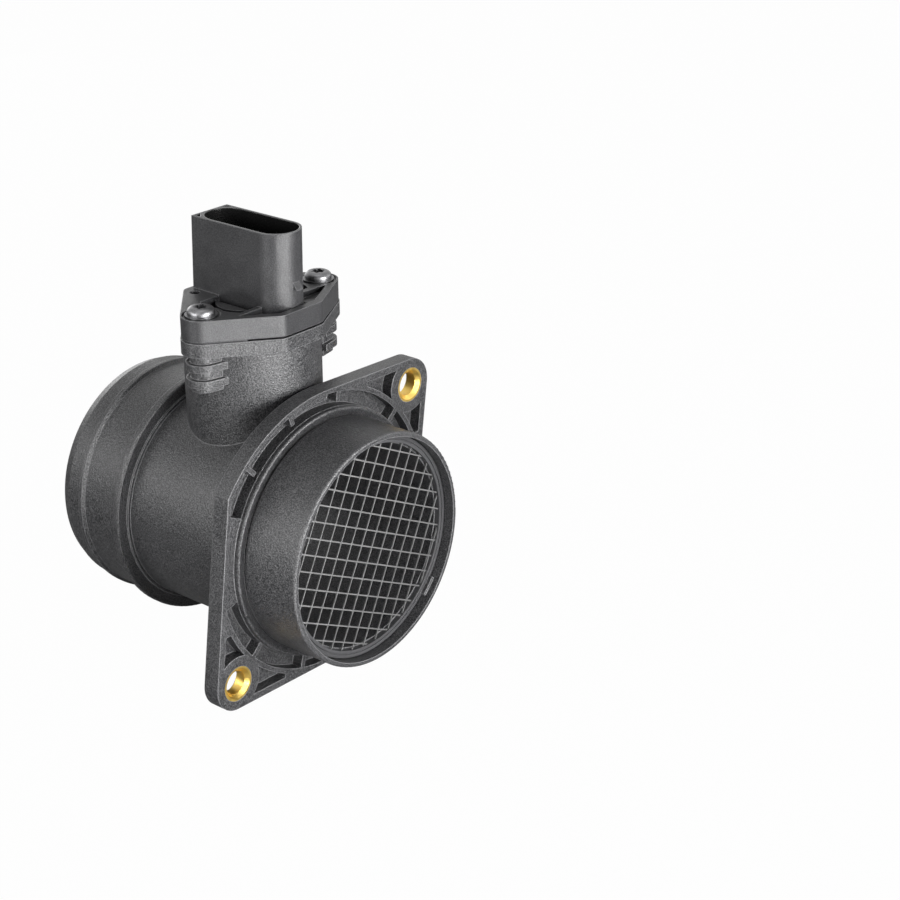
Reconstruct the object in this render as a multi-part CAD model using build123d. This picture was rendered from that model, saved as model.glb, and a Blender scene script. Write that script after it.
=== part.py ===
from build123d import *
import math
import os

os.makedirs("parts", exist_ok=True)

# ---------------------------------------------------------------------------
# Mass airflow sensor: a moulded duct section with a bolted-on plug-in sensor.
# X runs along the duct and points at the wire screen, Z points up at the connector.
# The origin lies on the duct's axis, half-way through the mounting flange.
# All sizes are in millimetres.
# ---------------------------------------------------------------------------

# Duct and its two spigots
BORE_R = 31.0
TUBE_WALL = 3.0
MOUTH_STEP = 3.0
COLLAR_WALL = 1.5
COLLAR_L = 20.8
RIM_ROUND = 0.7
EDGE_ROUND = 0.5
SCREEN_RECESS = 3.35
SHOULDER_RISE = 2.7
SHOULDER_H = 1.7
SHOULDER_LAND = 0.7
SHOULDER_DISH = 1.1
RELIEF_DEPTH = 0.6
RELIEF_REACH = 0.2
OUTLET_L = 75.4
LIP_BACK = 47.8
LIP_W = 2.5
LIP_RISE = 2.3
STEP_RISE = 1.0
STEP_H = 0.6
SPIGOT_STEP = 2.3
SPIGOT_WALL = 3.0
BORE_TAPER_L = 4.0
SPIGOT_TAPER_L = 3.2
SPIGOT_TAPER_H = 1.2
BEAD_FROM_END = 9.3
BEAD_W = 2.6
BEAD_H = 0.9

# Mounting flange
FLANGE_T = 5.4
FLANGE_RISE = 5.8
FLANGE_ARC_RISE = 11.0
FLANGE_ARC_Y = 0.6
FLANGE_CORNER_ANGLE = 143.3
BOLT_Y = 38.7
BOLT_Z = 34.3
EAR_R = 8.2
POCKET_DEPTH = 3.6
WALL_THIN = 1.3
WALL_EAR = 2.2
RING_POCKET_GAP = 0.1
RING_POCKET_W = 4.5
RING_WALL_T = 1.5
EAR_BOSS_R = 8.6
FILL_BLOCK_W = 3.0
RIB_T = 1.5
STUB_RIB_TIP_W = 1.5
STUB_RIB_ANGLES = (80.5, 108, 135, 288, 315)
FULL_RIB_ANGLE = 253.7
RING_POCKET_START = 12.5
RING_POCKET_END = 154.0
FILL_BLOCK_START = 87.5
FILL_BLOCK_END = 107.5
POCKET_CORNER_R = 0.6
EAR_POCKET_Y = 19.3
EAR_POCKET_Z = 16.5

# Flange bushes
BUSH_R = 5.35
BUSH_BORE_R = 3.6
BUSH_CHAMFER = 1.1
PRESS_GAP = 0.02

# Tower and the two plates
SENSOR_X = -23.5
TOWER_DX = -1.0
TOWER_R = 20.2
TOWER_BORE_R = 17.2
PLATE_BASE_Z = 57.0
TOWER_PLATE_T = 4.2
PLATE_GAP = 0.5
SENSOR_PLATE_T = 6.8
PLATE_FRONT_L = 20.0
PLATE_REAR_L = 18.3
PLATE_FRONT_Y = 6.8
PLATE_REAR_Y = 8.7
PLATE_CORNER_R = 3.0
PLATE_END_R = 5.9
TOWER_PLATE_EXTRA = 0.25
SCREW_RIGHT_DX = 1.3
SCREW_LEFT_DX = 5.4
SCREW_Y = 21.9

# Screw bosses under the tower plate
BOSS_R = 3.8
BOSS_FIN_R = 5.1
BOSS_FIN_T = 2.2
BOSS_FIN_GAP = 2.5
BOSS_NECK = 2.7
BOSS_L = 11.3
BOSS_TURN = 12.0
PILOT_DEPTH = 10.5

# Fastening screws
SCREW_R = 1.9
SCREW_FIT = 0.1
SCREW_L = 15.0
SCREW_HEAD_R = 4.0
SCREW_HEAD_H = 2.1
SCREW_HEAD_ROUND = 1.6
SCREW_WASHER_R = 4.7
SCREW_WASHER_T = 0.8
TORX_R = 2.0
TORX_LOBE_R = 0.5
TORX_DEPTH = 1.5
SCREW_HOLE_R = 2.3

# Top of the sensor plate
RIM_W = 2.3
CORNER_POCKET_DEPTH = 1.8
CENTRE_POCKET_DEPTH = 4.2
CENTRE_POCKET_R = 16.4
PLATE_RIB_FRONT = 9.6
PLATE_RIB_REAR = -7.4
PLATE_RIB_T = 1.6
HEAD_PAD_R = 5.4
HEAD_PAD_DEPTH = 0.5
PAD_INSET = 0.2
REAR_HOLE_X = -13.7
REAR_HOLE_Y = 9.8
REAR_HOLE_R = 1.5
REAR_HOLE_DEPTH = 3.0
EJECTOR_X = 14.0
EJECTOR_Y = 8.6
EJECTOR_R = 1.6
EJECTOR_H = 0.3
CRESCENT_R = 7.9
CRESCENT_Y = -4.1
CRESCENT_CHORD_Y = -8.6
CRESCENT_DEPTH = 1.2

# Connector shroud
SHROUD_L = 34.6
SHROUD_W = 14.2
SHROUD_H = 22.0
SHROUD_REAR_DRAFT = 1.0
SHROUD_FRONT_DRAFT = 0.4
SOCKET_WALL = 0.75
SOCKET_W = 12.7
SOCKET_DRAFT = 0.8
FLOOR_DROP = 0.6
CORNER_CELL = 2.1
CORNER_CELL_DEPTH = 6.0
SHROUD_EDGE = 0.75
SHROUD_NUB_W = 2.4
SHROUD_NUB_H = 3.2
SHROUD_NUB_OUT = 1.7
SHROUD_NUB_Z = 5.2
KEY_W = 1.75
KEY_OUT = 1.85
KEY_H = 9.7
KEY_FRONT_X = 7.3
KEY_REAR_X = -1.2

# Terminals
PIN_COUNT = 5
PIN_PITCH = 4.96
PIN_W = 2.2
PIN_T = 0.76
PIN_UP = 6.7
PIN_Y = -0.2
PIN_TAIL_W = 1.2
PIN_TAIL_Z = 33.6
PIN_SHOULDER_Z = 54.0
PIN_POINT = 0.23
SLOT_L = 4.2
SLOT_W = 2.2
SLOT_DEPTH = 5.0

# Plug, seal and sensing blade
PLUG_R = 17.0
PLUG_BOTTOM_Z = 44.5
SEAL_Z = 50.5
SEAL_CORD_R = 1.3
SEAL_FIT = 0.05
SEAL_GROOVE_SIDE = 0.3
BLADE_L = 29.0
BLADE_W = 13.0
BLADE_TIP_Z = -10.0
BLADE_EDGE_R = 1.2

# Electronics bay and measuring channel, both open towards +Y
BAY_WALL = 2.0
BAY_TOP = 42.5
BAY_BOTTOM = 14.0
BAY_CORNER_R = 1.5
COVER_T = 1.7
COVER_LAND = 1.0
COVER_FIT = 0.1
COVER_CORNER_R = 2.5
CHANNEL_TOP = 10.2
CHANNEL_BOTTOM = -8.2
CHANNEL_FLOOR_Y = -4.6
CHANNEL_WALL_T = 2.2
CHANNEL_FRONT_WALL = 1.8
CHANNEL_REAR_WALL = 2.1
OUTLET_WINDOW_L = 9.0
OUTLET_WINDOW_X = 7.0

# Carrier plate, circuit board and what is on it
CARRIER_T = 1.2
CARRIER_GAP = 0.5
CARRIER_TOP = 37.2
CARRIER_BOTTOM = 15.0
TONGUE_W = 7.0
TONGUE_X = 2.0
TONGUE_TIP_Z = 3.6
BOARD_T = 0.8
BOARD_INSET = 0.75
BOARD_TOP = 36.0
BOARD_BOTTOM = 17.0
ELEMENT_L = 4.0
ELEMENT_H = 4.6
ELEMENT_T = 0.5
ELEMENT_RISE = 0.6
# Each as (x, z, width, height, thickness) on the board
CONTROL_CHIP = (-3.5, 28.0, 6.0, 6.0, 1.2)
OUTPUT_CHIP = (5.5, 28.5, 4.4, 5.0, 1.1)
FILTER_CAPACITOR = (-4.5, 20.8, 3.2, 1.8, 1.4)
TRIM_RESISTOR = (3.5, 21.0, 5.0, 2.2, 0.5)

# Air temperature bead
BEAD_R = 1.0
BEAD_L = 3.0
BEAD_ROUND = 0.7
LEAD_R = 0.25
LEAD_FIT = 0.05
LEAD_GRIP = 1.0
BEAD_Z = 22.0
BEAD_WINDOW_L = 9.0
BEAD_WINDOW_H = 7.0
BEAD_WINDOW_DEPTH = 2.4

# Wire screen in its ring, across the inlet
SCREEN_RING_FIT = 0.3
SCREEN_RING_T = 1.7
SCREEN_OPEN_STEP = 0.5
SCREEN_GROOVE_W = 0.35
WIRE_GRIP = 0.7
WIRE_PITCH = 4.83
WIRE_W = 0.4
WIRE_T = 0.4
WIRE_ANGLE = -26.5
WIRE_SHIFT = 1.44
CLIP_COUNT = 3
CLIP_W = 6.0
CLIP_IN = 0.9
CLIP_ROOT = 0.5
CLIP_T = 1.2
CLIP_ANGLE = -42.0

# ---------------------------------------------------------------------------
# Places that follow from the sizes above
# ---------------------------------------------------------------------------
FLANGE_FRONT = FLANGE_T / 2
RIM_X = FLANGE_FRONT + COLLAR_L
OUTLET_X = FLANGE_FRONT - OUTLET_L
LIP_X = FLANGE_FRONT - LIP_BACK
SEAT_X = RIM_X - SCREEN_RECESS - SCREEN_RING_T
TUBE_R = BORE_R + TUBE_WALL
STEP_R = TUBE_R + STEP_RISE
MOUTH_R = BORE_R + MOUTH_STEP
COLLAR_R = MOUTH_R + COLLAR_WALL
SHOULDER_R = COLLAR_R + SHOULDER_RISE
RELIEF_R = COLLAR_R - RELIEF_DEPTH
SPIGOT_BORE_R = BORE_R + SPIGOT_STEP
SPIGOT_R = SPIGOT_BORE_R + SPIGOT_WALL
LIP_R = SPIGOT_R + LIP_RISE
FLANGE_TOP = SHOULDER_R + FLANGE_RISE
FLANGE_ARC_R = SHOULDER_R + FLANGE_ARC_RISE
RING_POCKET_IN = SHOULDER_R + RING_POCKET_GAP
RING_WALL_IN = SHOULDER_R + RING_POCKET_W
RING_WALL_OUT = RING_WALL_IN + RING_WALL_T
FILL_BLOCK_R = SHOULDER_R + FILL_BLOCK_W
STUB_RIB_TIP_R = SHOULDER_R + STUB_RIB_TIP_W
SCREEN_RING_R = MOUTH_R - SCREEN_RING_FIT
SCREEN_OPEN_R = BORE_R + SCREEN_OPEN_STEP
WIRE_END_R = SCREEN_OPEN_R + WIRE_GRIP
SCREEN_GROOVE_R = WIRE_END_R + SCREEN_GROOVE_W
TOWER_TOP = PLATE_BASE_Z + TOWER_PLATE_T
PLATE_TOP = TOWER_TOP + SENSOR_PLATE_T
SHROUD_TOP = PLATE_TOP + SHROUD_H
FLOOR_Z = PLATE_TOP - FLOOR_DROP
SOCKET_L = SHROUD_L + SHROUD_FRONT_DRAFT - SHROUD_REAR_DRAFT - 2 * SOCKET_WALL
BUSH_HOLE_R = BUSH_R + PRESS_GAP
OUTER_Y = BLADE_W / 2
COVER_Y = OUTER_Y - COVER_T
BLADE_FRONT = BLADE_L / 2
BAY_L = BLADE_L - 2 * BAY_WALL
CARRIER_L = BAY_L - 2 * CARRIER_GAP
BOARD_L = CARRIER_L - 2 * BOARD_INSET
BOARD_Y = PIN_Y - PIN_T / 2
CARRIER_Y = BOARD_Y - BOARD_T
BAY_FLOOR_Y = CARRIER_Y - CARRIER_T
SEAL_RING_R = TOWER_BORE_R - SEAL_FIT - SEAL_CORD_R
SEAL_GROOVE_R = SEAL_RING_R - SEAL_CORD_R - SEAL_FIT
CHANNEL_MIDDLE = (CHANNEL_TOP + CHANNEL_BOTTOM) / 2
CHANNEL_R = (CHANNEL_TOP - CHANNEL_BOTTOM) / 2
CHANNEL_FRONT = BLADE_FRONT - CHANNEL_FRONT_WALL
CHANNEL_TURN_X = CHANNEL_R + CHANNEL_REAR_WALL - BLADE_FRONT
BEAD_Y = BEAD_WINDOW_DEPTH / 2 - OUTER_Y
LEAD_HALF = BEAD_WINDOW_L / 2 + LEAD_GRIP


# ---------------------------------------------------------------------------
# Small shared helpers
# ---------------------------------------------------------------------------
def across(x):
    """The plane square to the duct at x, with Y and Z as its own axes."""
    return Plane.YZ.offset(x)


def level(z):
    """The level plane at z over the sensor's own centre."""
    return Plane.XY.offset(z).move(Location((SENSOR_X, 0, 0)))


def block(x0, x1, y0, y1, z0, z1):
    """A box between two corners, with x counted from the sensor's centre."""
    size = (x1 - x0, y1 - y0, z1 - z0)
    middle = (SENSOR_X + (x0 + x1) / 2, (y0 + y1) / 2, (z0 + z1) / 2)
    return Pos(*middle) * Box(*size)


def post(x, y, z0, z1, radius):
    """An upright round post between two levels, x from the sensor's centre."""
    return Pos(SENSOR_X + x, y, (z0 + z1) / 2) * Cylinder(radius, z1 - z0)


def turned(points, rounded=()):
    """A solid of revolution about the duct's axis from (x, radius) points."""
    face = make_face(Polyline(*[(x, 0, r) for x, r in points], close=True))
    for x, r, size in rounded:
        corner = face.vertices().sort_by_distance((x, 0, r))[0]
        face = fillet(corner, size)
    return revolve(face, Axis.X)


def sector(r_in, r_out, start, end):
    """A flat ring sector between two angles in degrees, 0 at +Y."""
    reach = 2 * r_out
    middle = (start + end) / 2
    turn = [math.radians(a) for a in (start, middle, end)]
    fan = [(reach * math.cos(a), reach * math.sin(a)) for a in turn]
    wedge = make_face(Polyline((0, 0), *fan, close=True))
    return (Circle(r_out) - Circle(r_in)) & wedge


def radial_bar(r_in, r_out, angle, width):
    """A flat bar that points away from the duct's axis."""
    bar = Pos((r_in + r_out) / 2, 0) * Rectangle(r_out - r_in, width)
    return Rot(0, 0, angle) * bar


def disc_at(x, y, radius):
    """A flat disc whose seam faces the origin, clear of any hull round it."""
    inward = math.degrees(math.atan2(-y, -x))
    return Pos(x, y) * Rot(0, 0, inward) * Circle(radius)


def opposite(shape):
    """The same shape half a turn round the duct's axis."""
    return Rot(0, 0, 180) * shape


# ---------------------------------------------------------------------------
# Housing
# ---------------------------------------------------------------------------
def flange_outline():
    """Rhombic outline: two bolt ears joined by arcs and tangent straights."""
    centre = (FLANGE_ARC_Y, FLANGE_TOP - FLANGE_ARC_R)
    sweep = FLANGE_CORNER_ANGLE - 90
    arc = CenterArc(centre, FLANGE_ARC_R, 90, sweep)
    ear = disc_at(BOLT_Y, BOLT_Z, EAR_R)
    edges = [*arc.edges(), *ear.edges()]
    edges += [e.rotate(Axis.Z, 180) for e in edges]
    return make_hull(edges)


def half_ring_pocket():
    """The ribbed groove round the shoulder, from the ear to the far corner."""
    groove = sector(RING_POCKET_IN, RING_WALL_IN, RING_POCKET_START, FILL_BLOCK_START)
    groove += sector(RING_POCKET_IN, FILL_BLOCK_R, FILL_BLOCK_START, FILL_BLOCK_END)
    groove += sector(RING_POCKET_IN, FLANGE_ARC_R, FILL_BLOCK_END, RING_POCKET_END)
    return groove


def flange_pockets():
    """All cored pockets in the flange's front, as one flat sketch."""
    outline = flange_outline()
    thin = offset(outline, -WALL_THIN)
    ring = half_ring_pocket()
    ring += opposite(ring)
    ring = ring & thin
    bolt_angle = math.degrees(math.atan2(BOLT_Z, BOLT_Y))
    for angle in (bolt_angle, bolt_angle + 180, FULL_RIB_ANGLE):
        ring -= radial_bar(SHOULDER_R, FLANGE_ARC_R, angle, RIB_T)
    for angle in STUB_RIB_ANGLES:
        ring -= radial_bar(STUB_RIB_TIP_R, FLANGE_ARC_R, angle, RIB_T)
    window = Pos(BOLT_Y, BOLT_Z) * Rectangle(2 * EAR_POCKET_Y, 2 * EAR_POCKET_Z)
    ear = offset(outline, -WALL_EAR) & window
    ear -= Circle(RING_WALL_OUT)
    ear -= Pos(BOLT_Y, BOLT_Z) * Circle(EAR_BOSS_R)
    cells = [fillet(f.vertices(), POCKET_CORNER_R) for f in ear.faces()]
    cells += [opposite(cell) for cell in cells]
    return ring, cells


def duct_body():
    """Outside of the duct: outlet spigot, lip, tube, shoulder and collar."""
    end = OUTLET_X
    bead = end + BEAD_FROM_END
    front = FLANGE_FRONT
    points = [
        (end, 0),
        (end, SPIGOT_R - SPIGOT_TAPER_H),
        (end + SPIGOT_TAPER_L, SPIGOT_R),
        (bead - BEAD_W / 2, SPIGOT_R),
        (bead - BEAD_W / 4, SPIGOT_R + BEAD_H),
        (bead + BEAD_W / 4, SPIGOT_R + BEAD_H),
        (bead + BEAD_W / 2, SPIGOT_R),
        (LIP_X - LIP_W, SPIGOT_R),
        (LIP_X - LIP_W, LIP_R),
        (LIP_X, LIP_R),
        (LIP_X, STEP_R),
        (LIP_X + STEP_H, STEP_R),
        (LIP_X + STEP_H, TUBE_R),
        (front, TUBE_R),
        (front, SHOULDER_R),
        (front + SHOULDER_H, SHOULDER_R),
        (front + SHOULDER_H, SHOULDER_R - SHOULDER_LAND),
        (front + SHOULDER_H - SHOULDER_DISH, RELIEF_R),
        (front + SHOULDER_H + RELIEF_REACH, RELIEF_R),
        (front + SHOULDER_H + RELIEF_REACH, COLLAR_R),
        (RIM_X, COLLAR_R),
        (RIM_X, 0),
    ]
    rounded = [
        (LIP_X - LIP_W, LIP_R, EDGE_ROUND),
        (LIP_X, LIP_R, EDGE_ROUND),
        (front + SHOULDER_H, SHOULDER_R, EDGE_ROUND),
        (RIM_X, COLLAR_R, RIM_ROUND),
    ]
    return turned(points, rounded)


def duct_bore():
    """The air space inside the duct, with the screen's seat at the inlet."""
    flare = LIP_X - LIP_W
    points = [
        (OUTLET_X, 0),
        (OUTLET_X, SPIGOT_BORE_R),
        (flare, SPIGOT_BORE_R),
        (flare + BORE_TAPER_L, BORE_R),
        (SEAT_X, BORE_R),
        (SEAT_X, MOUTH_R),
        (RIM_X, MOUTH_R),
        (RIM_X, 0),
    ]
    return turned(points)


def screw_dx(side):
    """The screws sit unevenly, so the sensor only goes in one way round."""
    return SCREW_LEFT_DX if side > 0 else SCREW_RIGHT_DX


def plate_outline(extra=0.0):
    """Six-sided plate with a rounded end round each screw."""
    edges = []
    r = PLATE_CORNER_R + extra
    for side in (-1, 1):
        end = disc_at(screw_dx(side), side * SCREW_Y, PLATE_END_R + extra)
        front = disc_at(PLATE_FRONT_L - PLATE_CORNER_R, side * PLATE_FRONT_Y, r)
        rear = disc_at(PLATE_CORNER_R - PLATE_REAR_L, side * PLATE_REAR_Y, r)
        for circle in (end, front, rear):
            edges += circle.edges()
    return make_hull(edges)


def boss_slot(radius, side):
    """Plan of one screw boss: round outside, straight into the tower."""
    reach = SCREW_Y - TOWER_BORE_R
    slot = Circle(radius) + Pos(0, reach / 2) * Rectangle(2 * radius, reach)
    slot = Rot(0, 0, -BOSS_TURN) * slot
    if side > 0:
        slot = mirror(slot, Plane.XZ)
    return Pos(screw_dx(side), side * SCREW_Y) * slot


def screw_boss(side):
    """A boss under the tower plate with two stiffening fins round it."""
    top = PLATE_BASE_Z
    boss = extrude(level(top - BOSS_L) * boss_slot(BOSS_R, side), BOSS_L)
    first = top - BOSS_NECK - BOSS_FIN_T
    for z in (first, first - BOSS_FIN_GAP - BOSS_FIN_T):
        boss += extrude(level(z) * boss_slot(BOSS_FIN_R, side), BOSS_FIN_T)
    return boss


def clip_nubs():
    """Snap nubs on the collar's inner wall that hold the screen's ring."""
    nubs = None
    front = SEAT_X + SCREEN_RING_T
    for i in range(CLIP_COUNT):
        angle = CLIP_ANGLE + i * 360 / CLIP_COUNT
        half = math.degrees(CLIP_W / 2 / MOUTH_R)
        arc = sector(MOUTH_R - CLIP_IN, MOUTH_R + CLIP_ROOT, angle - half, angle + half)
        nub = extrude(across(front) * arc, CLIP_T)
        nubs = nub if nubs is None else nubs + nub
    return nubs


def housing():
    body = duct_body()
    body += extrude(across(FLANGE_FRONT) * flange_outline(), -FLANGE_T)
    body += post(TOWER_DX, 0, 0, PLATE_BASE_Z, TOWER_R)
    ring, cells = flange_pockets()
    for pocket in [*ring.faces(), *cells]:
        body -= extrude(across(FLANGE_FRONT) * pocket, -POCKET_DEPTH)
    body += extrude(level(PLATE_BASE_Z) * plate_outline(TOWER_PLATE_EXTRA), TOWER_PLATE_T)
    for side in (-1, 1):
        body += screw_boss(side)
    body -= duct_bore()
    body -= post(TOWER_DX, 0, 0, TOWER_TOP, TOWER_BORE_R)
    for side in (-1, 1):
        x = screw_dx(side)
        y = side * SCREW_Y
        body -= post(x, y, TOWER_TOP - PILOT_DEPTH, TOWER_TOP, SCREW_R + SCREW_FIT)
        hole = Pos(side * BOLT_Y, side * BOLT_Z) * Circle(BUSH_HOLE_R)
        body -= extrude(across(FLANGE_FRONT) * hole, -FLANGE_T)
    body += clip_nubs()
    return body


# ---------------------------------------------------------------------------
# Screen, bushes, seal and screws
# ---------------------------------------------------------------------------
def wire_screen():
    """Two sets of crossing wires, as one flat lattice held by its ring."""
    wires = Sketch()
    count = int(SCREEN_RING_R / WIRE_PITCH)
    for i in range(-count, count + 1):
        place = i * WIRE_PITCH
        wires += Pos(0, place) * Rectangle(2 * SCREEN_RING_R, WIRE_W)
        wires += Pos(place + WIRE_SHIFT, 0) * Rectangle(WIRE_W, 2 * SCREEN_RING_R)
    wires = Rot(0, 0, WIRE_ANGLE) * wires
    wires = wires & Circle(WIRE_END_R)
    middle = SEAT_X + SCREEN_RING_T / 2
    return extrude(across(middle - WIRE_T / 2) * wires, WIRE_T)


def screen_ring():
    """The moulded ring round the wires, with a fine groove in its face."""
    band = Circle(SCREEN_RING_R) - Circle(SCREEN_OPEN_R)
    ring = extrude(across(SEAT_X) * band, SCREEN_RING_T)
    half = SCREEN_GROOVE_W / 2
    groove = Circle(SCREEN_GROOVE_R + half) - Circle(SCREEN_GROOVE_R - half)
    ring -= extrude(across(SEAT_X + SCREEN_RING_T) * groove, -SCREEN_GROOVE_W)
    return ring - wire_screen()


def flange_bush(side):
    """A brass sleeve with a flared mouth that takes the bolt's clamping load."""
    bush = Circle(BUSH_R) - Circle(BUSH_BORE_R)
    place = across(FLANGE_FRONT) * Pos(side * BOLT_Y, side * BOLT_Z)
    solid = extrude(place * bush, -FLANGE_T)
    bores = solid.edges().filter_by(GeomType.CIRCLE)
    bores = [e for e in bores if e.radius < (BUSH_R + BUSH_BORE_R) / 2]
    return chamfer(bores, BUSH_CHAMFER)


def sensor_seal():
    """The O-ring between the plug's groove and the tower's bore."""
    return Pos(SENSOR_X + TOWER_DX, 0, SEAL_Z) * Torus(SEAL_RING_R, SEAL_CORD_R)


def torx_recess(top):
    """Six-lobed driver recess."""
    plan = Circle(TORX_R - TORX_LOBE_R)
    for i in range(6):
        plan += Rot(0, 0, 60 * i) * Pos(TORX_R - TORX_LOBE_R, 0) * Circle(TORX_LOBE_R)
    return extrude(Plane.XY.offset(top) * plan, -TORX_DEPTH)


def sensor_screw(side):
    """Pan-head screw with its washer face, thread as a plain shank."""
    up = (Align.CENTER, Align.CENTER, Align.MIN)
    down = (Align.CENTER, Align.CENTER, Align.MAX)
    head = Cylinder(SCREW_HEAD_R, SCREW_HEAD_H, align=up)
    head = fillet(head.edges().group_by(Axis.Z)[-1], SCREW_HEAD_ROUND)
    head = Pos(0, 0, SCREW_WASHER_T) * head
    washer = Cylinder(SCREW_WASHER_R, SCREW_WASHER_T, align=up)
    shank = Cylinder(SCREW_R, SCREW_L, align=down)
    screw = head + washer + shank
    screw -= torx_recess(SCREW_WASHER_T + SCREW_HEAD_H)
    return Pos(SENSOR_X + screw_dx(side), side * SCREW_Y, PLATE_TOP - HEAD_PAD_DEPTH) * screw


# ---------------------------------------------------------------------------
# Terminals
# ---------------------------------------------------------------------------
def pin_x(i):
    return (i - (PIN_COUNT - 1) / 2) * PIN_PITCH


def terminal(i):
    """A flat blade that narrows to a tail inside the electronics bay."""
    x = pin_x(i)
    y0 = PIN_Y - PIN_T / 2
    y1 = PIN_Y + PIN_T / 2
    tip = FLOOR_Z + PIN_UP
    blade = block(x - PIN_W / 2, x + PIN_W / 2, y0, y1, PIN_SHOULDER_Z, tip)
    top = blade.faces().sort_by(Axis.Z)[-1]
    blade = chamfer(top.edges(), PIN_POINT)
    tail = block(x - PIN_TAIL_W / 2, x + PIN_TAIL_W / 2, y0, y1, PIN_TAIL_Z, PIN_SHOULDER_Z)
    return blade + tail


# ---------------------------------------------------------------------------
# Sensor body: plate, connector shroud, plug and sensing blade in one moulding
# ---------------------------------------------------------------------------
def shroud_plan(rear=0.0, front=0.0):
    """Square at the back, round at the front, with both ends free to move on."""
    half = SHROUD_W / 2
    back = rear - SHROUD_L / 2
    nose = front + SHROUD_L / 2 - half
    plan = Pos(nose, 0) * Circle(half)
    return plan + Pos((back + nose) / 2, 0) * Rectangle(nose - back, SHROUD_W)


def corner_cells():
    """The two three-cornered cells beside the round end of the socket."""
    x = SHROUD_EDGE + SHROUD_REAR_DRAFT - SHROUD_L / 2
    y = SHROUD_W / 2 - SHROUD_EDGE
    cells = Sketch()
    for side in (-1, 1):
        corner = (x, side * y)
        along = (x + CORNER_CELL, side * y)
        down = (x, side * (y - CORNER_CELL))
        cells += make_face(Polyline(corner, along, down, close=True))
    return cells


def shroud():
    """The plug shroud with its tapered socket, keys and corner cells."""
    base = PLATE_TOP - CENTRE_POCKET_DEPTH
    foot = level(base) * shroud_plan()
    head = level(SHROUD_TOP) * shroud_plan(SHROUD_REAR_DRAFT, SHROUD_FRONT_DRAFT)
    body = loft([foot.face(), head.face()])
    middle = Pos((SHROUD_REAR_DRAFT + SHROUD_FRONT_DRAFT) / 2, 0)
    top = level(SHROUD_TOP) * middle * SlotOverall(SOCKET_L, SOCKET_W)
    shrink = 2 * SOCKET_DRAFT
    bottom = level(FLOOR_Z) * middle * SlotOverall(SOCKET_L - shrink, SOCKET_W - shrink)
    body -= loft([bottom.face(), top.face()])
    body -= extrude(level(SHROUD_TOP) * corner_cells(), -CORNER_CELL_DEPTH)
    return body


def shroud_keys():
    """Two coding ribs on the socket's inner wall."""
    wall = SOCKET_W / 2
    keys = None
    for x in (KEY_FRONT_X, KEY_REAR_X):
        reach = wall - SOCKET_DRAFT / 2 - KEY_OUT
        key = block(x - KEY_W / 2, x + KEY_W / 2, reach, wall, FLOOR_Z, FLOOR_Z + KEY_H)
        keys = key if keys is None else keys + key
    return keys


def shroud_nub():
    """A small wedge on the shroud's round end that guides the plug's clip."""
    x = SHROUD_L / 2
    z = PLATE_TOP + SHROUD_NUB_Z
    root = x - SHROUD_EDGE
    side = [(root, z), (x + SHROUD_NUB_OUT, z), (root, z + SHROUD_NUB_H)]
    plan = make_face(Polyline(*side, close=True))
    return cut_from_side(plan, -SHROUD_NUB_W / 2, SHROUD_NUB_W / 2)


def plate_recesses():
    """Front corner pockets and a deeper centre pocket in the top of the plate."""
    inner = offset(plate_outline(), -RIM_W)
    for side in (-1, 1):
        inner -= Pos(screw_dx(side), side * SCREW_Y) * Circle(HEAD_PAD_R + RIM_W / 2)
    half = PLATE_RIB_T / 2
    width = PLATE_RIB_FRONT - PLATE_RIB_REAR - PLATE_RIB_T
    lane = Pos((PLATE_RIB_FRONT + PLATE_RIB_REAR) / 2, 0) * Rectangle(width, 4 * SCREW_Y)
    centre = inner & lane & Circle(CENTRE_POCKET_R)
    ahead = PLATE_RIB_FRONT + half + PLATE_FRONT_L / 2
    corners = inner & (Pos(ahead, 0) * Rectangle(PLATE_FRONT_L, 4 * SCREW_Y))
    return centre, corners


def crescent():
    """A crescent pad beside the shroud, in the deeper pocket."""
    half = (CRESCENT_CHORD_Y - CRESCENT_Y + CRESCENT_R) / 2
    band = Rectangle(2 * CRESCENT_R, 2 * half)
    return Pos(0, CRESCENT_Y) * (Circle(CRESCENT_R) & (Pos(0, half - CRESCENT_R) * band))


def sensor_plate():
    """The flange plate with pads at the screws and a cored top."""
    base = TOWER_TOP + PLATE_GAP
    plate = extrude(level(base) * plate_outline(), PLATE_TOP - base)
    for side in (-1, 1):
        place = Pos(screw_dx(side), side * SCREW_Y)
        window = place * Rectangle(2 * PLATE_FRONT_L, 2 * PLATE_END_R)
        pad = plate_outline(-PAD_INSET) & window
        plate += extrude(level(TOWER_TOP) * pad, 2 * PLATE_GAP)
    centre, corners = plate_recesses()
    plate -= extrude(level(PLATE_TOP) * centre, -CENTRE_POCKET_DEPTH)
    plate -= extrude(level(PLATE_TOP) * corners, -CORNER_POCKET_DEPTH)
    floor = PLATE_TOP - CORNER_POCKET_DEPTH
    low = PLATE_TOP - REAR_HOLE_DEPTH
    for side in (-1, 1):
        plate += post(EJECTOR_X, side * EJECTOR_Y, floor - EJECTOR_H, floor + EJECTOR_H, EJECTOR_R)
        plate -= post(REAR_HOLE_X, side * REAR_HOLE_Y, low, PLATE_TOP, REAR_HOLE_R)
    low = PLATE_TOP - CENTRE_POCKET_DEPTH
    plate += extrude(level(low) * crescent(), CENTRE_POCKET_DEPTH - CRESCENT_DEPTH)
    for side in (-1, 1):
        x = screw_dx(side)
        y = side * SCREW_Y
        plate -= post(x, y, PLATE_TOP - HEAD_PAD_DEPTH, PLATE_TOP, HEAD_PAD_R)
        plate -= post(x, y, TOWER_TOP, PLATE_TOP, SCREW_HOLE_R)
    return plate


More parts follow.
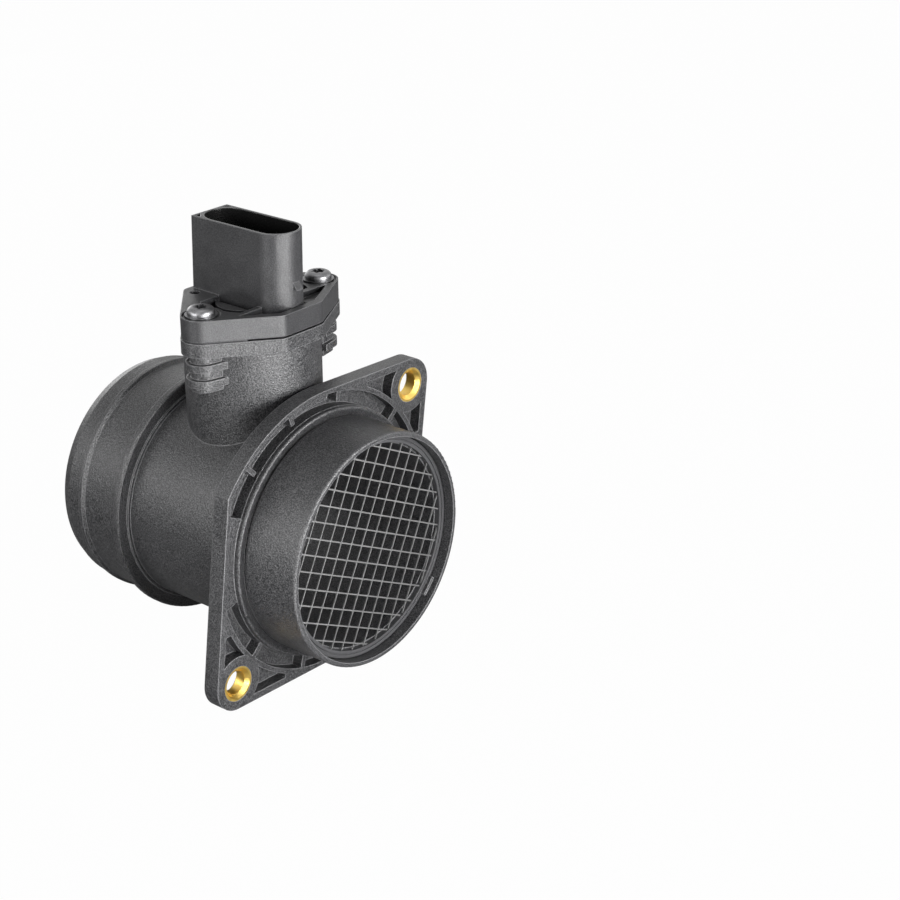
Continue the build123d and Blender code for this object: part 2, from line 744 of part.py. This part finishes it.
def channel_plan():
    """The measuring channel's path as a flat sketch in X and Z."""
    length = CHANNEL_FRONT - CHANNEL_TURN_X
    lanes = Pos(length / 2, 0) * Rectangle(length, 2 * CHANNEL_R)
    wall = Pos(length / 2, 0) * Rectangle(length, CHANNEL_WALL_T)
    wall += Circle(CHANNEL_WALL_T / 2)
    plan = lanes + Circle(CHANNEL_R) - wall
    return Pos(CHANNEL_TURN_X, CHANNEL_MIDDLE) * plan


def upright(y):
    """The plane at y with X from the sensor's centre and Z up."""
    return Plane(origin=(SENSOR_X, y, 0), x_dir=(1, 0, 0), z_dir=(0, -1, 0))


def cut_from_side(plan, y_floor, y_top):
    """A recess that opens towards +Y."""
    return extrude(upright(y_top) * plan, y_top - y_floor)


def bay_plan():
    middle = (BAY_TOP + BAY_BOTTOM) / 2
    return Pos(0, middle) * RectangleRounded(BAY_L, BAY_TOP - BAY_BOTTOM, BAY_CORNER_R)


def sensing_blade():
    """The plug in the tower bore and the blade that hangs into the duct."""
    plug = post(TOWER_DX, 0, PLUG_BOTTOM_Z, TOWER_TOP + PLATE_GAP, PLUG_R)
    plug -= seal_groove()
    blade = block(-BLADE_FRONT, BLADE_FRONT, -OUTER_Y, OUTER_Y, BLADE_TIP_Z, PLUG_BOTTOM_Z)
    blade = fillet(blade.edges().filter_by(Axis.Z), BLADE_EDGE_R)
    return plug + blade


def seal_groove():
    """The square groove in the plug that holds the O-ring."""
    height = 2 * (SEAL_CORD_R + SEAL_GROOVE_SIDE)
    ring = Cylinder(TOWER_BORE_R, height) - Cylinder(SEAL_GROOVE_R, height)
    return Pos(SENSOR_X + TOWER_DX, 0, SEAL_Z) * ring


def carrier_plan():
    """The carrier with a tongue that reaches down into the channel."""
    height = CARRIER_TOP - CARRIER_BOTTOM
    plan = Pos(0, (CARRIER_TOP + CARRIER_BOTTOM) / 2) * Rectangle(CARRIER_L, height)
    drop = CARRIER_BOTTOM - TONGUE_TIP_Z
    return plan + Pos(TONGUE_X, TONGUE_TIP_Z + drop / 2) * Rectangle(TONGUE_W, drop)


def tongue_slot(gap, y_in, z_top):
    """The slot in the web between channel and bay that takes the tongue."""
    half = TONGUE_W / 2 - gap
    return block(TONGUE_X - half, TONGUE_X + half, y_in, OUTER_Y, CHANNEL_TOP - gap, z_top)


def measuring_channel():
    """The folded air channel with its mouth and its way out at the tip."""
    channel = cut_from_side(channel_plan(), CHANNEL_FLOOR_Y, OUTER_Y)
    channel += cut_from_side(channel_cover_plan(), COVER_Y, OUTER_Y)
    bottom = CHANNEL_MIDDLE + CHANNEL_WALL_T / 2
    inner = CHANNEL_FRONT - CHANNEL_FRONT_WALL
    outer = BLADE_FRONT + CHANNEL_FRONT_WALL
    channel += block(inner, outer, CHANNEL_FLOOR_Y, COVER_Y, bottom, CHANNEL_TOP)
    x0 = OUTLET_WINDOW_X - OUTLET_WINDOW_L / 2
    x1 = OUTLET_WINDOW_X + OUTLET_WINDOW_L / 2
    low = BLADE_TIP_Z - COVER_LAND
    channel += block(x0, x1, CHANNEL_FLOOR_Y, COVER_Y, low, CHANNEL_BOTTOM + COVER_LAND)
    return channel


def bead_window():
    """The shallow window on the blade's closed side, with its lead holes."""
    half = BEAD_WINDOW_L / 2
    depth = BEAD_WINDOW_DEPTH - OUTER_Y
    low = BEAD_Z - BEAD_WINDOW_H / 2
    window = block(-half, half, -OUTER_Y - COVER_FIT, depth, low, low + BEAD_WINDOW_H)
    hole = Rot(0, 90, 0) * Cylinder(LEAD_R + LEAD_FIT, 2 * LEAD_HALF)
    return window + Pos(SENSOR_X, BEAD_Y, BEAD_Z) * hole


def sensor_body():
    body = sensor_plate() + shroud() + shroud_keys() + shroud_nub() + sensing_blade()
    body -= cut_from_side(bay_plan(), BAY_FLOOR_Y, OUTER_Y)
    body -= cut_from_side(offset(bay_plan(), COVER_LAND), COVER_Y, OUTER_Y)
    body -= measuring_channel()
    body -= tongue_slot(0, BAY_FLOOR_Y, BAY_BOTTOM)
    body -= bead_window()
    for i in range(PIN_COUNT):
        x = pin_x(i)
        y0 = PIN_Y - SLOT_W / 2
        low = FLOOR_Z - SLOT_DEPTH
        body -= block(x - SLOT_L / 2, x + SLOT_L / 2, y0, y0 + SLOT_W, low, FLOOR_Z)
        body -= terminal(i)
    return body


# ---------------------------------------------------------------------------
# Covers, carrier, board and sensors inside the blade
# ---------------------------------------------------------------------------
def channel_cover_plan():
    """A rounded rectangle that laps the channel all round."""
    rear = CHANNEL_TURN_X - CHANNEL_R
    length = CHANNEL_FRONT - rear + 2 * COVER_LAND
    height = 2 * (CHANNEL_R + COVER_LAND)
    plan = RectangleRounded(length, height, COVER_CORNER_R)
    return Pos((CHANNEL_FRONT + rear) / 2, CHANNEL_MIDDLE) * plan


def electronics_cover():
    plan = offset(bay_plan(), COVER_LAND - COVER_FIT)
    return cut_from_side(plan, COVER_Y, OUTER_Y)


def channel_cover():
    """The channel's lid, with a block that closes the tongue's slot."""
    lid = cut_from_side(offset(channel_cover_plan(), -COVER_FIT), COVER_Y, OUTER_Y)
    top = BAY_BOTTOM - COVER_LAND - COVER_FIT
    return lid + tongue_slot(COVER_FIT, CARRIER_Y + COVER_FIT, top)


def carrier_plate():
    return cut_from_side(carrier_plan(), BAY_FLOOR_Y, CARRIER_Y)


def circuit_board():
    half = BOARD_L / 2
    return block(-half, half, CARRIER_Y, BOARD_Y, BOARD_BOTTOM, BOARD_TOP)


def on_board(x, z, width, height, thickness):
    """A flat component lying on the circuit board."""
    left = x - width / 2
    low = z - height / 2
    return block(left, left + width, BOARD_Y, BOARD_Y + thickness, low, low + height)


def sensing_element():
    """The hot-film chip on the carrier's tongue, edge-on to the air stream."""
    low = TONGUE_TIP_Z + ELEMENT_RISE
    left = TONGUE_X - ELEMENT_L / 2
    return block(left, left + ELEMENT_L, CARRIER_Y, CARRIER_Y + ELEMENT_T, low, low + ELEMENT_H)


def air_temperature_bead():
    """Glass bead on a through lead, held across a window in the blade."""
    lead = Rot(0, 90, 0) * Cylinder(LEAD_R, 2 * LEAD_HALF)
    bead = Rot(0, 90, 0) * Cylinder(BEAD_R, BEAD_L)
    bead = fillet(bead.edges().filter_by(GeomType.CIRCLE), BEAD_ROUND)
    return Pos(SENSOR_X, BEAD_Y, BEAD_Z) * (lead + bead)


# ---------------------------------------------------------------------------
# Write every piece to its own file
# ---------------------------------------------------------------------------
PIECES = {
    "housing": housing(),
    "screen_ring": screen_ring(),
    "wire_screen": wire_screen(),
    "flange_bush_upper": flange_bush(1),
    "flange_bush_lower": flange_bush(-1),
    "sensor_body": sensor_body(),
    "sensor_seal": sensor_seal(),
    "sensor_screw_left": sensor_screw(1),
    "sensor_screw_right": sensor_screw(-1),
    "carrier_plate": carrier_plate(),
    "circuit_board": circuit_board(),
    "control_chip": on_board(*CONTROL_CHIP),
    "output_chip": on_board(*OUTPUT_CHIP),
    "filter_capacitor": on_board(*FILTER_CAPACITOR),
    "trim_resistor": on_board(*TRIM_RESISTOR),
    "sensing_element": sensing_element(),
    "air_temperature_bead": air_temperature_bead(),
    "electronics_cover": electronics_cover(),
    "channel_cover": channel_cover(),
}
for i in range(PIN_COUNT):
    PIECES[f"terminal_{i + 1}"] = terminal(i)

for name, solid in PIECES.items():
    export_step(solid, f"parts/{name}.step")
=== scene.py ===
import bmesh
import bpy
from mathutils import Matrix, Vector


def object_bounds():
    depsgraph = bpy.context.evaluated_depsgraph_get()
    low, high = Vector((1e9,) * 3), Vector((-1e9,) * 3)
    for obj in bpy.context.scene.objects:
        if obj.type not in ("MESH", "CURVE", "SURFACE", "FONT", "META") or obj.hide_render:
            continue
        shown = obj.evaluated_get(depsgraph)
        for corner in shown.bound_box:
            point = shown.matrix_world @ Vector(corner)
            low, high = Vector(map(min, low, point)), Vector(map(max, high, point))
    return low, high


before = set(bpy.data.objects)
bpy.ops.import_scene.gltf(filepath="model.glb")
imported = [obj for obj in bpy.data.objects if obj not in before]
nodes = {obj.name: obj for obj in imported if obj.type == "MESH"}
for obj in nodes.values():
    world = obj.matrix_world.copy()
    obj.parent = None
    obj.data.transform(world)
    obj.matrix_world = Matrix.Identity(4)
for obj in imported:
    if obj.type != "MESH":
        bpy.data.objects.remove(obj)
cad_low, cad_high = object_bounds()

# ---------------------------------------------------------------------------
# Camera: a long lens looking down at the inlet and across the flange, as a
# catalogue shows such a sensor. It stands a little over half a metre away.
# ---------------------------------------------------------------------------
LENS_LENGTH = 76.0
FILM_WIDTH = 36.0
CAMERA_PLACE = Vector((0.34811, -0.36742, 0.24812))
CAMERA_RIGHT = Vector((0.77634, 0.63031, 0.0))
CAMERA_BACK = Vector((0.57660, -0.71010, 0.40399))

lens = bpy.data.cameras.new("catalogue_camera")
lens.lens = LENS_LENGTH
lens.sensor_width = FILM_WIDTH
lens.clip_start = 0.01
lens.clip_end = 20.0
camera = bpy.data.objects.new("catalogue_camera", lens)
bpy.context.scene.collection.objects.link(camera)
back = CAMERA_BACK.normalized()
right = (CAMERA_RIGHT - CAMERA_RIGHT.dot(back) * back).normalized()
up = back.cross(right)
turn = Matrix((right, up, back)).transposed()
camera.matrix_world = Matrix.Translation(CAMERA_PLACE) @ turn.to_4x4()
bpy.context.scene.camera = camera
bpy.context.scene.view_settings.view_transform = "Standard"

# ---------------------------------------------------------------------------
# Studio: a broad lamp before the inlet, softer ones along the left side, above
# and behind, and two low cards for the rims, over a matte floor. The camera
# sees surround and floor white; glossy faces see the floor much dimmer.
# ---------------------------------------------------------------------------
MIDDLE = (-0.025, 0.0, 0.01)
FLOOR_GREY = 0.18
FLOOR_WHITE_SEEN = 0.985
FLOOR_WHITE_MIRRORED = 0.06
ROOM_COLOUR = (0.80, 0.82, 0.85, 1.0)
ROOM_STRENGTH = 0.04
WHITE = (1.0, 1.0, 1.0, 1.0)
FLOOR_GAP = 0.0002
FLOOR_REACH = 3.0


def soft_lamp(name, place, aim, size, watts):
    lamp = bpy.data.lights.new(name, "AREA")
    lamp.shape = "RECTANGLE"
    lamp.size, lamp.size_y = size
    lamp.energy = watts
    holder = bpy.data.objects.new(name, lamp)
    bpy.context.scene.collection.objects.link(holder)
    holder.rotation_mode = "QUATERNION"
    holder.rotation_quaternion = (Vector(aim) - Vector(place)).to_track_quat("-Z", "Y")
    holder.location = place
    return holder


soft_lamp("inlet_lamp", (0.77, 0.02, 0.17), MIDDLE, (0.55, 0.40), 13.5)
soft_lamp("side_lamp", (-0.10, -0.70, 0.14), (-0.02, 0.0, -0.02), (0.45, 0.35), 3.8)
soft_lamp("high_side_lamp", (0.03, -0.60, 0.56), MIDDLE, (0.35, 0.35), 0.6)
soft_lamp("rear_side_lamp", (-0.48, -0.58, 0.30), MIDDLE, (0.30, 0.30), 1.0)
soft_lamp("top_lamp", (-0.02, 0.0, 0.85), MIDDLE, (0.40, 0.40), 0.5)
soft_lamp("far_lamp", (0.35, 0.65, 0.28), MIDDLE, (0.40, 0.40), 0.7)
soft_lamp("back_lamp", (-0.80, 0.34, 0.12), MIDDLE, (0.40, 0.40), 1.2)
soft_lamp("low_card", (0.35, -0.12, -0.02), (0.0, 0.0, -0.03), (0.45, 0.06), 1.4)
floor_card = soft_lamp("floor_card", (0.13, -0.11, -0.0432), (0.13, -0.11, 1.0), (0.18, 0.14), 0.4)
floor_card.visible_camera = False


def seen_white(tree, straight, mirrored):
    """The share of white for rays from the camera or through glass, and off a glossy face."""
    path = tree.nodes.new("ShaderNodeLightPath")
    rays = {"Is Camera Ray": straight, "Is Transmission Ray": straight, "Is Glossy Ray": mirrored}
    total = None
    for kind, part in rays.items():
        step = tree.nodes.new("ShaderNodeMath")
        step.operation = "MULTIPLY_ADD"
        step.use_clamp = True
        tree.links.new(path.outputs[kind], step.inputs[0])
        step.inputs[1].default_value = part
        step.inputs[2].default_value = 0.0
        if total is not None:
            tree.links.new(total, step.inputs[2])
        total = step.outputs["Value"]
    return total


surround = bpy.data.worlds.new("studio_surround")
bpy.context.scene.world = surround
surround.use_nodes = True
air = surround.node_tree
air.nodes.clear()
room_light = air.nodes.new("ShaderNodeBackground")
room_light.inputs["Color"].default_value = ROOM_COLOUR
room_light.inputs["Strength"].default_value = ROOM_STRENGTH
white_wall = air.nodes.new("ShaderNodeBackground")
white_wall.inputs["Color"].default_value = WHITE
white_wall.inputs["Strength"].default_value = 1.0
choose = air.nodes.new("ShaderNodeMixShader")
air.links.new(seen_white(air, 1.0, 1.0), choose.inputs["Fac"])
air.links.new(room_light.outputs[0], choose.inputs[1])
air.links.new(white_wall.outputs[0], choose.inputs[2])
air.links.new(choose.outputs[0], air.nodes.new("ShaderNodeOutputWorld").inputs["Surface"])

sheet = bmesh.new()
bmesh.ops.create_grid(sheet, x_segments=1, y_segments=1, size=FLOOR_REACH)
bmesh.ops.translate(sheet, verts=sheet.verts, vec=(0.0, 0.0, cad_low.z - FLOOR_GAP))
floor_mesh = bpy.data.meshes.new("floor")
sheet.to_mesh(floor_mesh)
sheet.free()
floor = bpy.data.objects.new("floor", floor_mesh)
bpy.context.scene.collection.objects.link(floor)
paper = bpy.data.materials.new("white_paper")
paper.use_nodes = True
pulp = paper.node_tree
pulp.nodes.clear()
matte = pulp.nodes.new("ShaderNodeBsdfDiffuse")
matte.inputs["Color"].default_value = (FLOOR_GREY, FLOOR_GREY, FLOOR_GREY, 1.0)
white = pulp.nodes.new("ShaderNodeEmission")
white.inputs["Color"].default_value = WHITE
white.inputs["Strength"].default_value = 1.0
face = pulp.nodes.new("ShaderNodeMixShader")
pulp.links.new(seen_white(pulp, FLOOR_WHITE_SEEN, FLOOR_WHITE_MIRRORED), face.inputs["Fac"])
pulp.links.new(matte.outputs[0], face.inputs[1])
pulp.links.new(white.outputs[0], face.inputs[2])
pulp.links.new(face.outputs[0], pulp.nodes.new("ShaderNodeOutputMaterial").inputs["Surface"])
floor_mesh.materials.append(paper)

# ---------------------------------------------------------------------------
# Housing: the duct, tower and flange, one moulding in glass-filled polyester.
# Its skin is a fine spark-eroded grain with pale glass specks just under it,
# and a painted highlight makes the colour of its edges paler.
# ---------------------------------------------------------------------------
HOUSING_DARK = (0.005, 0.005, 0.006)
HOUSING_LIGHT = (0.066, 0.066, 0.068)
HOUSING_ROUGHNESS = 0.37
HOUSING_GRAIN = 0.0005
HOUSING_GRAIN_DEPTH = 0.00016
HOUSING_EDGE = 0.00045
# Painted highlight: the base colour on edges is made this many times lighter than the light tone.
HOUSING_EDGE_HIGHLIGHT_GAIN = 2.6
PLASTIC_SPECULAR = 0.5
CLOUD_SIZE = 0.006
SPECK_TO_GRAIN = 0.7
SPECK_FROM, SPECK_TO = 0.35, 0.72
GLOSSIER, DULLER = 0.05, 0.06
EASE_SAMPLES = 6
TURNED_AGREEMENT, FLAT_AGREEMENT = 0.82, 0.985


def finish_shader(name, colour, roughness):
    """A new material with its Principled shader set, and a position to read patterns at."""
    made = bpy.data.materials.new(name)
    made.use_nodes = True
    tree = made.node_tree
    skin = tree.nodes["Principled BSDF"]
    skin.inputs["Base Color"].default_value = (*colour, 1.0)
    skin.inputs["Roughness"].default_value = roughness
    where = tree.nodes.new("ShaderNodeTexCoord").outputs["Object"]
    return made, tree, skin, where


def grain(tree, where, size, detail=2.0):
    """Fine noise whose grains are about the given size in metres."""
    noise = tree.nodes.new("ShaderNodeTexNoise")
    noise.inputs["Scale"].default_value = 1.0 / size
    noise.inputs["Detail"].default_value = detail
    tree.links.new(where, noise.inputs["Vector"])
    return noise.outputs["Fac"]


def spread(tree, value, low, high, start=0.3, end=0.7):
    """Maps a value between start and end onto a range of its own."""
    ramp = tree.nodes.new("ShaderNodeMapRange")
    ramp.inputs["From Min"].default_value = start
    ramp.inputs["From Max"].default_value = end
    ramp.inputs["To Min"].default_value = low
    ramp.inputs["To Max"].default_value = high
    tree.links.new(value, ramp.inputs["Value"])
    return ramp.outputs["Result"]


def blend(tree, share, first, second, kind="RGBA"):
    """Mixes two colours or two numbers, each given plainly or by another node."""
    mix = tree.nodes.new("ShaderNodeMix")
    mix.data_type = kind
    tree.links.new(share, mix.inputs["Factor"])
    for side, value in (("A", first), ("B", second)):
        if isinstance(value, tuple):
            mix.inputs[side].default_value = (*value, 1.0)
        elif isinstance(value, float):
            mix.inputs[side].default_value = value
        else:
            tree.links.new(value, mix.inputs[side])
    return mix.outputs["Result"]


def eased_edges(tree, radius):
    """Normals that turn smoothly over an edge, as a moulded edge does."""
    ease = tree.nodes.new("ShaderNodeBevel")
    ease.samples = EASE_SAMPLES
    ease.inputs["Radius"].default_value = radius
    return ease.outputs["Normal"]


def edge_share(tree, eased):
    """How far the eased normal has turned from the face: 0 on a face, 1 on an edge."""
    face_normal = tree.nodes.new("ShaderNodeNewGeometry").outputs["Normal"]
    agree = tree.nodes.new("ShaderNodeVectorMath")
    agree.operation = "DOT_PRODUCT"
    tree.links.new(eased, agree.inputs[0])
    tree.links.new(face_normal, agree.inputs[1])
    return spread(tree, agree.outputs["Value"], 1.0, 0.0, TURNED_AGREEMENT, FLAT_AGREEMENT)


def dented(tree, value, depth, normal=None):
    """Turns a value into relief of the given depth in metres."""
    bump = tree.nodes.new("ShaderNodeBump")
    bump.inputs["Distance"].default_value = depth
    bump.inputs["Strength"].default_value = 1.0
    tree.links.new(value, bump.inputs["Height"])
    if normal is not None:
        tree.links.new(normal, bump.inputs["Normal"])
    return bump.outputs["Normal"]


def grained_plastic(name, dark, light, roughness, coarse, depth, edge=0.0003, pale=1.0):
    """A specked, grained moulding; pale says how many times lighter its edges are painted, as a painted
    highlight.
    """
    made, tree, skin, where = finish_shader(name, light, roughness)
    skin.inputs["Specular IOR Level"].default_value = PLASTIC_SPECULAR
    fine = grain(tree, where, coarse)
    cloudy = grain(tree, where, CLOUD_SIZE, detail=3.0)
    speck = grain(tree, where, coarse * SPECK_TO_GRAIN, detail=0.0)
    eased = eased_edges(tree, edge)
    colour = blend(tree, spread(tree, speck, 0.0, 1.0, SPECK_FROM, SPECK_TO), dark, light)
    # Painted highlight: the base colour turns lighter over eased edges.
    if pale > 1.0:
        painted_edge_highlight = tuple(part * pale for part in light)
        colour = blend(tree, edge_share(tree, eased), colour, painted_edge_highlight)
    tree.links.new(colour, skin.inputs["Base Color"])
    gloss = spread(tree, cloudy, roughness - GLOSSIER, roughness + DULLER)
    tree.links.new(gloss, skin.inputs["Roughness"])
    tree.links.new(dented(tree, fine, depth, eased), skin.inputs["Normal"])
    return made


def wear(node, finish):
    """Gives a CAD node its finish."""
    mesh = nodes[node].data
    mesh.materials.clear()
    mesh.materials.append(finish)


housing_skin = grained_plastic(
    "housing_skin", HOUSING_DARK, HOUSING_LIGHT, HOUSING_ROUGHNESS,
    HOUSING_GRAIN, HOUSING_GRAIN_DEPTH, HOUSING_EDGE, HOUSING_EDGE_HIGHLIGHT_GAIN)
wear("housing", housing_skin)

# ---------------------------------------------------------------------------
# Sensor body: plate, shroud, plug and blade, moulded in the same polyester
# with a smoother tool finish; its edges carry the same painted highlight. The core pin
# of its socket was polished, so the walls inside are glossy; their colour is
# painted near black as shade inside the socket. Its two lids are plain mouldings.
# ---------------------------------------------------------------------------
SENSOR_DARK = (0.012, 0.012, 0.013)
SENSOR_LIGHT = (0.042, 0.042, 0.044)
SENSOR_ROUGHNESS = 0.35
SENSOR_GRAIN = 0.00036
SENSOR_GRAIN_DEPTH = 0.00004
SENSOR_EDGE = 0.0004
# Painted highlight: the base colour on the sensor's edges is made this many times lighter.
SENSOR_EDGE_HIGHLIGHT_GAIN = 2.4
SOCKET_MIDDLE_X = -0.0228
SOCKET_HALF_STRAIGHT = 0.0099
SOCKET_END_RADIUS = 0.0067
SOCKET_FLOOR_Z = 0.0665
POLISHED_ROUGHNESS = 0.16
# Painted shade: the inside of the socket is coloured near black.
SOCKET_PAINTED_SHADE_COLOUR = (0.008, 0.008, 0.008)

sensor_skin = grained_plastic(
    "sensor_skin", SENSOR_DARK, SENSOR_LIGHT, SENSOR_ROUGHNESS,
    SENSOR_GRAIN, SENSOR_GRAIN_DEPTH, SENSOR_EDGE, SENSOR_EDGE_HIGHLIGHT_GAIN)


def reckon(tree, kind, *values):
    """One step of arithmetic on plain numbers and other nodes' results."""
    step = tree.nodes.new("ShaderNodeMath")
    step.operation = kind
    for slot, value in enumerate(values):
        if isinstance(value, float):
            step.inputs[slot].default_value = value
        else:
            tree.links.new(value, step.inputs[slot])
    return step.outputs["Value"]


def within_socket(tree, where):
    """1 inside the socket's oval, 0 elsewhere."""
    axes = tree.nodes.new("ShaderNodeSeparateXYZ")
    tree.links.new(where, axes.inputs["Vector"])
    x, y, z = (axes.outputs[axis] for axis in "XYZ")
    aside = reckon(tree, "ABSOLUTE", reckon(tree, "SUBTRACT", x, SOCKET_MIDDLE_X))
    past = reckon(tree, "MAXIMUM", reckon(tree, "SUBTRACT", aside, SOCKET_HALF_STRAIGHT), 0.0)
    reach = reckon(tree, "ADD", reckon(tree, "MULTIPLY", past, past), reckon(tree, "MULTIPLY", y, y))
    oval = reckon(tree, "LESS_THAN", reach, SOCKET_END_RADIUS ** 2)
    return reckon(tree, "MULTIPLY", oval, reckon(tree, "GREATER_THAN", z, SOCKET_FLOOR_Z))


sensor_tree = sensor_skin.node_tree
sensor_shader = sensor_tree.nodes["Principled BSDF"]
# Inside the socket: glossier, as polished, and darker, as painted shade.
socket_polish_and_shade = within_socket(sensor_tree, sensor_tree.nodes["Texture Coordinate"].outputs["Object"])
for slot, kind, polished in (
        ("Roughness", "FLOAT", POLISHED_ROUGHNESS), ("Base Color", "RGBA", SOCKET_PAINTED_SHADE_COLOUR)):
    grained = sensor_shader.inputs[slot].links[0].from_socket
    sensor_tree.links.new(blend(sensor_tree, socket_polish_and_shade, grained, polished, kind), sensor_shader.inputs[slot])
wear("sensor_body", sensor_skin)

lid_skin = grained_plastic(
    "cover_skin", dark=(0.026, 0.026, 0.028), light=(0.048, 0.048, 0.050),
    roughness=0.45, coarse=0.0003, depth=0.00003)
wear("electronics_cover", lid_skin)
wear("channel_cover", lid_skin)

# ---------------------------------------------------------------------------
# Screen: drawn stainless wires crossing in a moulded ring that snaps into
# the inlet collar.
# ---------------------------------------------------------------------------
WIRE_GREY = (0.30, 0.30, 0.30)
METAL_GLOSSIER, METAL_DULLER = 0.08, 0.10

ring_skin = grained_plastic(
    "ring_skin", dark=(0.026, 0.026, 0.028), light=(0.050, 0.050, 0.052),
    roughness=0.42, coarse=0.0003, depth=0.00003)
wear("screen_ring", ring_skin)


def worked_metal(name, colour, roughness, scratch, depth):
    """Bare metal with faint tool marks about the given size."""
    made, tree, skin, where = finish_shader(name, colour, roughness)
    skin.inputs["Metallic"].default_value = 1.0
    marks = grain(tree, where, scratch, detail=3.0)
    gloss = spread(tree, marks, roughness - METAL_GLOSSIER, roughness + METAL_DULLER)
    tree.links.new(gloss, skin.inputs["Roughness"])
    tree.links.new(dented(tree, marks, depth), skin.inputs["Normal"])
    return made


wire_steel = worked_metal("wire_steel", WIRE_GREY, roughness=0.45, scratch=0.0004, depth=0.000003)
wear("wire_screen", wire_steel)

# ---------------------------------------------------------------------------
# Flange bushes: turned brass sleeves with a flared mouth, moulded into the
# ears. The tool leaves faint marks, and the brass has dulled a little.
# ---------------------------------------------------------------------------
BRASS_YELLOW = (0.74, 0.52, 0.14)

bush_brass = worked_metal("bush_brass", BRASS_YELLOW, roughness=0.36, scratch=0.0006, depth=0.0000015)
wear("flange_bush_upper", bush_brass)
wear("flange_bush_lower", bush_brass)

# ---------------------------------------------------------------------------
# Sensor screws: pan heads with a washer face and a six-lobe recess, in black
# passivated steel, driven through the plate into the tower's bosses.
# ---------------------------------------------------------------------------
SCREW_BLACK = (0.17, 0.17, 0.175)

screw_steel = worked_metal("screw_black", SCREW_BLACK, roughness=0.34, scratch=0.0005, depth=0.000003)
wear("sensor_screw_left", screw_steel)
wear("sensor_screw_right", screw_steel)

# ---------------------------------------------------------------------------
# Terminals: five flat copper-alloy blades, stamped, with a warm tint where
# the tin has worn.
# ---------------------------------------------------------------------------
BLADE_COPPER = (0.80, 0.62, 0.38)
BLADE_COUNT = 5

blade_metal = worked_metal("blade_metal", BLADE_COPPER, roughness=0.30, scratch=0.0004, depth=0.00001)
for number in range(1, BLADE_COUNT + 1):
    wear(f"terminal_{number}", blade_metal)

# ---------------------------------------------------------------------------
# O-ring: moulded in smooth black rubber with a dull bloom, and held in the
# plug's groove against the tower's bore.
# ---------------------------------------------------------------------------
seal_rubber = grained_plastic(
    "ring_rubber", dark=(0.015, 0.015, 0.015), light=(0.030, 0.030, 0.030),
    roughness=0.55, coarse=0.0005, depth=0.00001)
wear("sensor_seal", seal_rubber)

# ---------------------------------------------------------------------------
# Inside the blade: an aluminium carrier, a ceramic board with its moulded
# chips, the silicon element and the glass temperature bead.
# ---------------------------------------------------------------------------
ALUMINIUM_GREY = (0.72, 0.73, 0.75)

carrier_metal = worked_metal("carrier_metal", ALUMINIUM_GREY, roughness=0.38, scratch=0.0008, depth=0.00001)
wear("carrier_plate", carrier_metal)
ceramic = grained_plastic(
    "ceramic", dark=(0.70, 0.68, 0.62), light=(0.80, 0.78, 0.72),
    roughness=0.60, coarse=0.0003, depth=0.00001)
wear("circuit_board", ceramic)
chip_case = grained_plastic(
    "chip_case", dark=(0.030, 0.030, 0.032), light=(0.050, 0.050, 0.052),
    roughness=0.50, coarse=0.0002, depth=0.00001)
for chip in ("control_chip", "output_chip", "trim_resistor"):
    wear(chip, chip_case)
clay = grained_plastic(
    "capacitor_clay", dark=(0.45, 0.33, 0.20), light=(0.58, 0.44, 0.29),
    roughness=0.50, coarse=0.0003, depth=0.00001)
wear("filter_capacitor", clay)
silicon = grained_plastic(
    "silicon", dark=(0.20, 0.23, 0.30), light=(0.27, 0.30, 0.37),
    roughness=0.15, coarse=0.0006, depth=0.000001)
wear("sensing_element", silicon)
bead_glass = grained_plastic(
    "bead_glass", dark=(0.16, 0.09, 0.05), light=(0.24, 0.14, 0.08),
    roughness=0.12, coarse=0.0008, depth=0.000001)
wear("air_temperature_bead", bead_glass)
